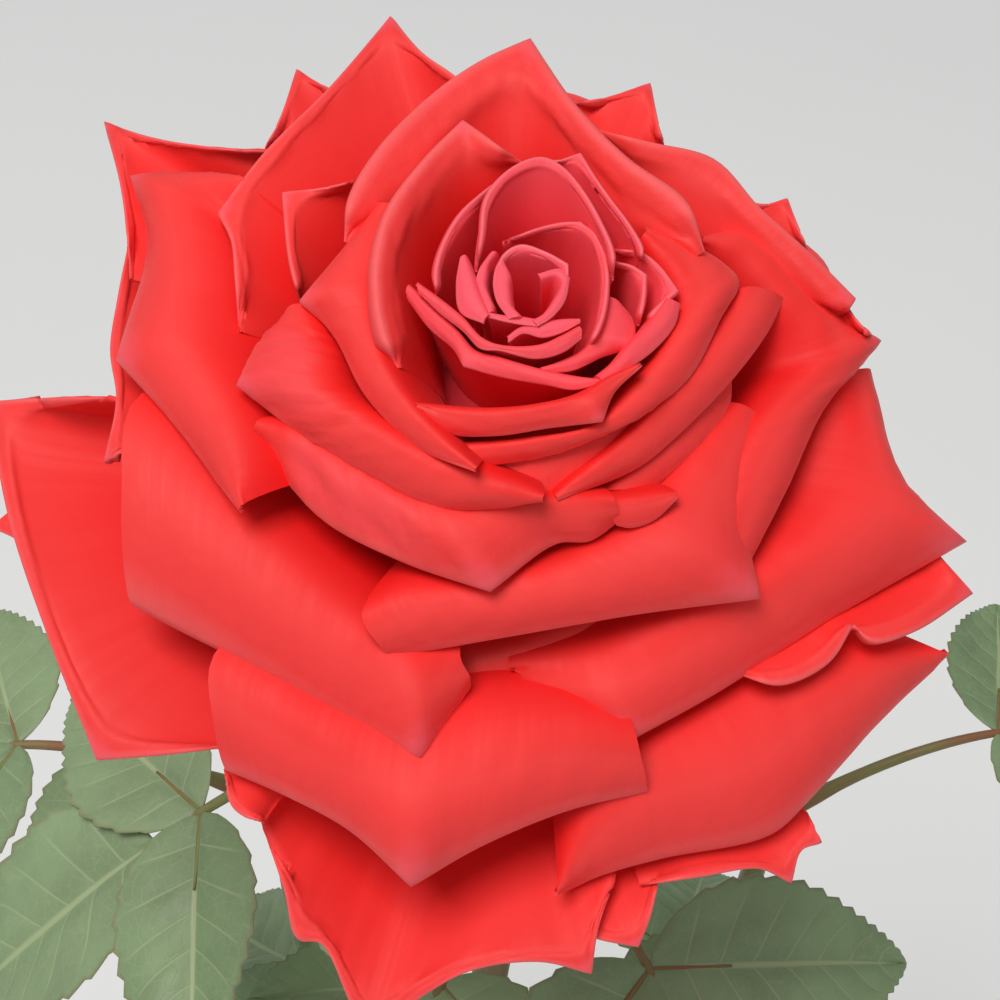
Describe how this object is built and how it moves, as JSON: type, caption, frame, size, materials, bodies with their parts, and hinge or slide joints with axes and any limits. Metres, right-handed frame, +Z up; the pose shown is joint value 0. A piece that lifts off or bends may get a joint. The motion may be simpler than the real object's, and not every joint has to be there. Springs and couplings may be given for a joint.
{
  "type": "potted rose",
  "caption": "Potted garden rose: a large open bloom of overlapping petals on a thorny cane, leafy side canes, soil and a plain round pot.",
  "frame": {"origin": "middle of the pot's underside, on the surface it stands on", "axes": "+Z up along the pot's axis, -Y towards the side the bloom nods to, +X to the right seen from there"},
  "size_m": [0.2775, 0.21, 0.5452],
  "materials": {
    "pot_plastic": "satin off-white plastic",
    "potting_soil": "rough moist peat",
    "cane_green": "smooth green bark with red-brown prickles",
    "leaf_green": "matt leaf with paler veins",
    "calyx_green": "matt green",
    "petal_red": "velvety coral-red petal"
  },
  "bodies": {
    "root": {"pot": "pot_plastic", "soil": "potting_soil", "cane_flower": "cane_green", "cane_left": "cane_green", "cane_right": "cane_green", "leaf_flower_1": "leaf_green", "leaf_flower_2": "leaf_green", "leaf_flower_3": "leaf_green", "leaf_flower_4": "leaf_green", "leaf_flower_5": "leaf_green", "leaf_flower_6": "leaf_green", "leaf_flower_7": "leaf_green", "leaf_left_1": "leaf_green", "leaf_left_2": "leaf_green", "leaf_left_3": "leaf_green", "leaf_right_1": "leaf_green", "leaf_right_2": "leaf_green", "leaf_right_3": "leaf_green", "calyx": "calyx_green", "bloom": "petal_red"}
  },
  "joints": []
}
